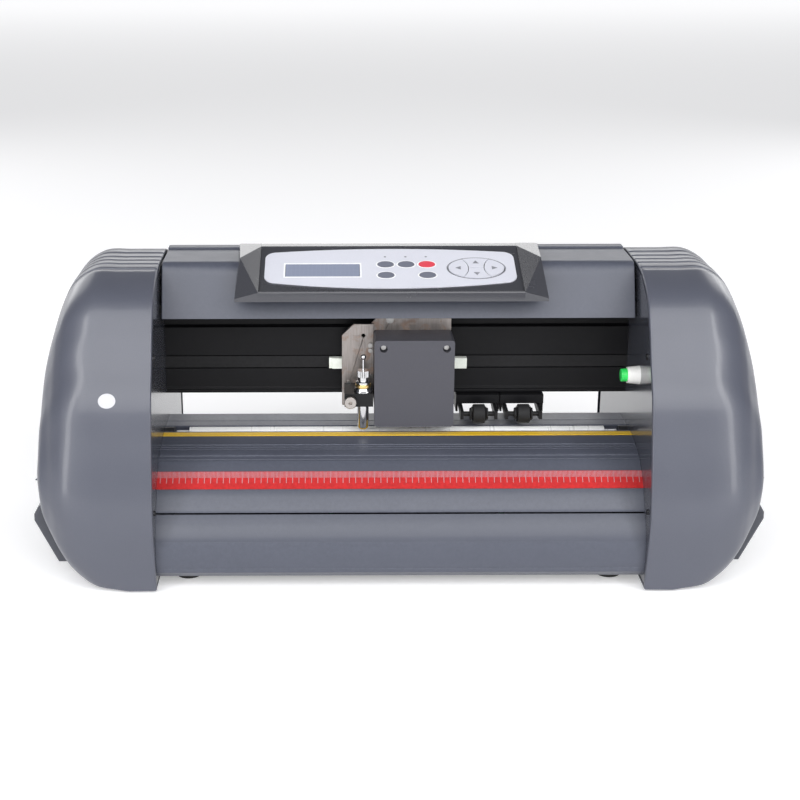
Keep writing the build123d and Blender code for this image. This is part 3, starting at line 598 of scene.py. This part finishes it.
# --- the CAD pieces' edges -----------------------------------------------------------
SOFT_EDGES = {
    "top_casing": 0.8, "rear_casing": 0.5, "front_platen": 0.25, "front_cover": 0.3, "side_feet": 2.0,
    "panel_housing": 0.9, "carriage_cover": 0.5, "holder_block": 0.4, "tool_plate": 0.25,
    "carriage_plate": 0.25,
    "belt_clamps": 0.5, "base_pan": 0.3, "power_inlet": 0.4, "power_switch": 0.4, "rail_beam": 0.25,
    "left_pinch_housing": 0.35, "right_pinch_housing": 0.35, "left_pinch_arm": 0.3, "right_pinch_arm": 0.3,
    "left_side_plate": 0.3, "right_side_plate": 0.3, "bearing_block": 0.3, "rubber_feet": 0.6,
    "cutting_strip": 0.1, "clamp_screw": 0.2, "blade_holder": 0.2, "lcd_display": 0.1, "membrane": 0.12,
    "main_board": 0.2, "carriage_motor": 0.5, "feed_motor": 0.5,
}
ROUND_NODES = (
    "drive_roller", "roller_bearings", "motor_pulley", "idler_pulley", "depth_cap", "eject_pin",
    "left_pinch_wheel", "right_pinch_wheel", "pause_bezel", "pause_button", "lifter_coil", "carriage_belt",
    "key_pause", "key_speed", "key_setting", "key_test", "key_origin",
)


def soften_nodes():
    """Small rounded edges on the CAD pieces, and smooth sides on the round ones."""
    for name, width in SOFT_EDGES.items():
        soften(NODES[name], width)
    for name in ROUND_NODES:
        mesh = NODES[name].data
        for face in mesh.polygons:
            face.use_smooth = True
        mesh.set_sharp_from_angle(angle=math.radians(35))


# --- small details ---------------------------------------------------------------------
def extra_finish(name, colour, roughness, metallic=0.0, grain=0.5, depth=0.004):
    """Finish of a detail that has no slot of its own."""
    FINISHES[name] = (colour, roughness, metallic, grain, depth)
    return basic_finish(name).material


def turned(name, profile, centre, axis="Z", steps=48):
    """Turned piece: (radius, height) points in mm, from axis to axis, round a centre."""
    points, faces, rings = [], [], []
    for radius, height in profile:
        ring = []
        for k in range(steps if radius > 1e-6 else 1):
            angle = 2 * math.pi * k / steps
            local = (radius * math.cos(angle), radius * math.sin(angle), height)
            if axis == "X":
                local = (local[2], local[0], local[1])
            if axis == "Y":
                local = (local[1], local[2], local[0])
            ring.append(len(points))
            points.append([(c + p) * MM for c, p in zip(centre, local)])
        rings.append(ring)
    for low, high in zip(rings, rings[1:]):
        for k in range(steps):
            n = k + 1
            corners = [low[k % len(low)], low[n % len(low)], high[n % len(high)], high[k % len(high)]]
            faces.append(list(dict.fromkeys(corners)))
    made = mesh_object(name, points, [f for f in faces if len(f) > 2], smooth=True)
    made.data.set_sharp_from_angle(angle=math.radians(32))
    return made


def boxes(name, corners):
    """One mesh of closed boxes; each box is its eight corners in mm, lower four first."""
    points, faces = [], []
    for box in corners:
        base = len(points)
        points += [[c * MM for c in corner] for corner in box]
        for face in ((3, 2, 1, 0), (4, 5, 6, 7), (0, 1, 5, 4), (1, 2, 6, 5), (2, 3, 7, 6), (3, 0, 4, 7)):
            faces.append([base + k for k in face])
    return mesh_object(name, points, faces)


# The ruler's upper and lower edge as (y, z), and the height of its face above that line.
RULER_TOP, RULER_END, RULER_LIFT = (-80.6, 87.6), (-92.2, 77.35), 0.7
# The table's ribs: upper and lower edge as (y, z), and height.
RIBS = [((-50.8, 100.2), (-52.3, 99.8), 0.55), ((-65.0, 96.85), (-67.4, 95.9), 0.6)]
RIB_END, RIB_SINK = 192.3, 0.3


def add_ruler_scale():
    """Millimetre marks in a pale band along the ruler's upper edge, with longer marks every 5 mm."""
    length = math.dist(RULER_TOP, RULER_END)
    down = [(RULER_END[k] - RULER_TOP[k]) / length for k in (0, 1)]
    out = (down[1], -down[0])

    def spot(x, along, lift):
        return (x, *(RULER_TOP[k] + down[k] * along + out[k] * lift for k in (0, 1)))

    marks = []
    for step in range(-192, 193):
        reach, half = (10.4, 0.24) if step % 5 == 0 else (5.6, 0.19)
        low, high = RULER_LIFT - 0.02, RULER_LIFT + 0.05
        ends = [(step - half, 0.2), (step + half, 0.2), (step + half, reach), (step - half, reach)]
        marks.append([spot(x, y, low) for x, y in ends] + [spot(x, y, high) for x, y in ends])
    ink = extra_finish("ruler_ink", (0.36, 0.25, 0.28), 0.5)
    add_piece(boxes("ruler_marks", marks), "root", "red_ruler", ink)


def add_platen_ribs():
    """Two low ribs along the curved front of the table."""
    ribs = []
    for (y0, z0), (y1, z1), lift in RIBS:
        edges = ((-RIB_END, y1, z1), (RIB_END, y1, z1), (RIB_END, y0, z0), (-RIB_END, y0, z0))
        lower = [(x, y, z - RIB_SINK) for x, y, z in edges]
        ribs.append(lower + [(x, y, z + RIB_SINK + lift) for x, y, z in lower])
    made = boxes("platen_ribs", ribs)
    soften(made, 0.3)
    add_piece(made, "root", "casing_grey")


# The sloping tray of the control panel, and the overlay's thickness. Places on it are across and up.
PANEL_X, TRAY_TILT, TRAY_ORIGIN = -6.5, math.atan(0.337), (-15, 237.23)
SHEET = 0.8
PRINT_SINK, PRINT_RAISE = 0.02, 0.05
KEY_RAISE = 0.5
OVALS = {
    "key_pause": (-3.5, 5.5), "key_speed": (13.1, 5.5), "key_setting": (29.8, 5.5),
    "key_test": (-3.5, -10.7), "key_origin": (29.8, -10.7),
}
WINDOW_AT, WINDOW_HALF, WINDOW_BORDER = (-54.4, -3.0), (30.0, 9.5), 1.3
LAMPS, LAMP_HEIGHT, LAMP_SIZE = (-3.7, 13.0, 29.6), 17.2, (1.0, 0.9)
PAD_AT = (69.4, -0.7)
# Arrow keys: place on the pad, and the way that the arrow points.
ARROWS = {
    "key_left": (-14.5, 0, -1, 0), "key_right": (14.5, 0, 1, 0),
    "key_up": (0, 8.6, 0, 1), "key_down": (0, -8.6, 0, -1),
}


def on_tray(u, s, lift):
    """Point in mm on the sloping tray: across, up the slope and above it."""
    cos, sin = math.cos(TRAY_TILT), math.sin(TRAY_TILT)
    return (PANEL_X + u, TRAY_ORIGIN[0] + s * cos - lift * sin, TRAY_ORIGIN[1] + s * sin + lift * cos)


def tray_ring(name, outer, inner, low, high):
    """Flat closed ring on the tray between two outlines of equally many (across, up) points."""
    count = len(outer)
    points = []
    for outline, lift in ((outer, low), (outer, high), (inner, high), (inner, low)):
        points += [[c * MM for c in on_tray(u, s, lift)] for u, s in outline]
    faces = []
    for loop in range(4):
        for k in range(count):
            n = (k + 1) % count
            a, b = loop * count, (loop + 1) % 4 * count
            faces.append((a + k, a + n, b + n, b + k))
    return mesh_object(name, points, faces)


def tray_plate(name, outline, low, high):
    """Flat closed plate on the tray."""
    count = len(outline)
    points = [[c * MM for c in on_tray(u, s, lift)] for lift in (low, high) for u, s in outline]
    faces = [list(reversed(range(count))), [count + k for k in range(count)]]
    faces += [(k, (k + 1) % count, count + (k + 1) % count, count + k) for k in range(count)]
    return mesh_object(name, points, faces)


def ellipse(centre, size, count=48):
    """Points round an ellipse."""
    turns = [2 * math.pi * k / count for k in range(count)]
    return [(centre[0] + size[0] * math.cos(t), centre[1] + size[1] * math.sin(t)) for t in turns]


def add_key_halos(white):
    """White ring round each oval key."""
    for name, place in OVALS.items():
        outer, inner = ellipse(place, (7.9, 5.7)), ellipse(place, (6.85, 4.65))
        ring = tray_ring(name + "_halo", outer, inner, SHEET - PRINT_SINK, SHEET + PRINT_RAISE)
        add_piece(ring, "root", "membrane_silver", white)


def add_display_border(white):
    """White frame round the display window."""
    frames = []
    for grow in (WINDOW_BORDER, 0.02):
        half = [h + grow for h in WINDOW_HALF]
        corners = ((-1, -1), (1, -1), (1, 1), (-1, 1))
        frames.append([(WINDOW_AT[0] + a * half[0], WINDOW_AT[1] + b * half[1]) for a, b in corners])
    border = tray_ring("display_border", frames[0], frames[1], SHEET - PRINT_SINK, SHEET + 0.06)
    add_piece(border, "root", "membrane_silver", white)


def add_lamps_and_pad(grey):
    """Three lamp dots, and the outline round the arrow keys."""
    for k, across in enumerate(LAMPS):
        dot = ellipse((across, LAMP_HEIGHT), LAMP_SIZE, 20)
        lamp = tray_plate(f"lamp_{k}", dot, SHEET - PRINT_SINK, SHEET + 0.06)
        add_piece(lamp, "root", "membrane_silver", grey)
    outer, inner = ellipse(PAD_AT, (23.9, 16.3), 72), ellipse(PAD_AT, (23.05, 15.45), 72)
    outline = tray_ring("pad_outline", outer, inner, SHEET - PRINT_SINK, SHEET + 0.10)
    add_piece(outline, "root", "membrane_silver", grey)


def add_key_arrows(grey):
    """Plain arrow on each arrow key, which moves with it."""
    top = SHEET + KEY_RAISE
    for key, (across, up, du, ds) in ARROWS.items():
        u, s = PAD_AT[0] + across, PAD_AT[1] + up
        tail = (u - 2.0 * du, s - 2.0 * ds)
        tips = [(u + 2.6 * du, s + 2.6 * ds), (tail[0] - 2.6 * ds, tail[1] + 2.6 * du),
                (tail[0] + 2.6 * ds, tail[1] - 2.6 * du)]
        arrow = tray_plate(key + "_arrow", tips, top - PRINT_SINK, top + PRINT_RAISE)
        add_piece(arrow, key, "key_silver", grey)


def add_panel_print():
    """Printed rings, display border, lamp dots and arrows of the overlay."""
    white = extra_finish("overlay_white", (0.86, 0.87, 0.90), 0.42)
    grey = extra_finish("overlay_grey", (0.20, 0.205, 0.23), 0.45)
    add_key_halos(white)
    add_display_border(white)
    add_lamps_and_pad(grey)
    add_key_arrows(grey)


HOLDER_AXIS = (-28.2, -32.0, 0)
# Outlines of the turned blade holder and its brass ring: radius and height.
HOLDER_PROFILE = [
    (0, 106.15), (0.45, 106.5), (0.5, 107.0), (2.6, 107.0), (3.9, 108.0), (4.6, 109.4), (4.6, 127.6),
    (5.4, 128.4), (5.4, 139.5), (7.6, 139.5), (7.6, 140.3), (6.3, 142.7), (5.4, 143.1), (5.4, 146.0),
    (5.9, 146.3), (5.9, 147.6), (5.2, 148.4), (4.4, 148.6), (4.4, 151.6), (1.1, 151.6), (1.1, 142.5),
    (0, 142.5),
]
RING_PROFILE = [
    (5.35, 143.2), (6.2, 143.2), (6.5, 143.6), (6.5, 145.2), (6.2, 145.6), (5.35, 145.6), (5.35, 143.2),
]
# Pinch wheels' places across, their axle as (y, z), and a rim's outline: radius and distance outward.
WHEELS_X, WHEEL_AXLE, RIM_START = {"left": 68.0, "right": 104.9}, (-18, 114.7), 5.05
WHEEL_RIM = [(2.2, 0), (4.6, 0), (5.6, 0.3), (6.2, 0.9), (5.6, 1.2), (2.2, 1.2), (2.2, 0)]


def add_blade_holder():
    """Turned blade holder: nose, barrel, conical flange, brass ring and neck."""
    holder = turned("holder_body", HOLDER_PROFILE, HOLDER_AXIS)
    add_piece(holder, "tool_head", "chrome_tool", replaces=["blade_holder"])
    add_piece(turned("holder_ring", RING_PROFILE, HOLDER_AXIS), "tool_head", "gear_brass")


def add_pinch_trim():
    """Steel rims beside each rubber pinch wheel."""
    for side, x in WHEELS_X.items():
        for sign, letter in ((-1, "a"), (1, "b")):
            ring = [(r, sign * (RIM_START + h)) for r, h in WHEEL_RIM]
            rim = turned(f"{side}_rim_{letter}", ring, (x, *WHEEL_AXLE), "X", 36)
            add_piece(rim, side + "_pinch_wheel", "screw_steel")


STICKER_AT, STICKER_SIZE = (-226.4, 155.2), (6.7, 5.3)
STICKER_RINGS, STICKER_STEPS = 5, 40


def sticker_points(tree):
    """Two layers of rings of points, laid on the cap along Y."""
    points = []
    for lift in (0.02, 0.18):
        for ring in range(STICKER_RINGS + 1):
            for k in range(STICKER_STEPS if ring else 1):
                turn = 2 * math.pi * k / STICKER_STEPS
                x = STICKER_AT[0] + STICKER_SIZE[0] * ring / STICKER_RINGS * math.cos(turn)
                z = STICKER_AT[1] + STICKER_SIZE[1] * ring / STICKER_RINGS * math.sin(turn)
                hit = tree.ray_cast(Vector((x, -200, z)) * MM, Vector((0, 1, 0)))
                points.append(hit[0] + Vector((0, -lift, 0)) * MM)
    return points


def sticker_faces():
    """Faces of both layers, and of the edge between them."""
    count = STICKER_STEPS
    half = 1 + STICKER_RINGS * count
    faces = []
    for layer in (0, 1):
        for ring in range(STICKER_RINGS):
            for k in range(count):
                n = (k + 1) % count
                inner = [layer * half + (0 if ring == 0 else 1 + (ring - 1) * count + j) for j in (k, n)]
                outer = [layer * half + 1 + ring * count + j for j in (n, k)]
                face = list(dict.fromkeys(inner + outer))
                faces.append(face if layer else face[::-1])
    last = 1 + (STICKER_RINGS - 1) * count
    for k in range(count):
        n = (k + 1) % count
        faces.append((last + k, last + n, half + last + n, half + last + k))
    return faces


def add_sticker():
    """Blank oval sticker on the front of the left end cap."""
    shell = bpy.data.objects["left_cap_shell"].data
    tree = BVHTree.FromPolygons([v.co for v in shell.vertices], [tuple(f.vertices) for f in shell.polygons])
    made = mesh_object("blank_sticker", sticker_points(tree), sticker_faces(), smooth=True)
    made.data.set_sharp_from_angle(angle=math.radians(40))
    add_piece(made, "root", "grey_plastic", extra_finish("sticker_paper", (0.50, 0.50, 0.53), 0.40))


add_camera()
add_studio()
finish_nodes()
soften_nodes()
add_end_caps()
add_ruler_scale()
add_platen_ribs()
add_panel_print()
add_blade_holder()
add_pinch_trim()
add_sticker()
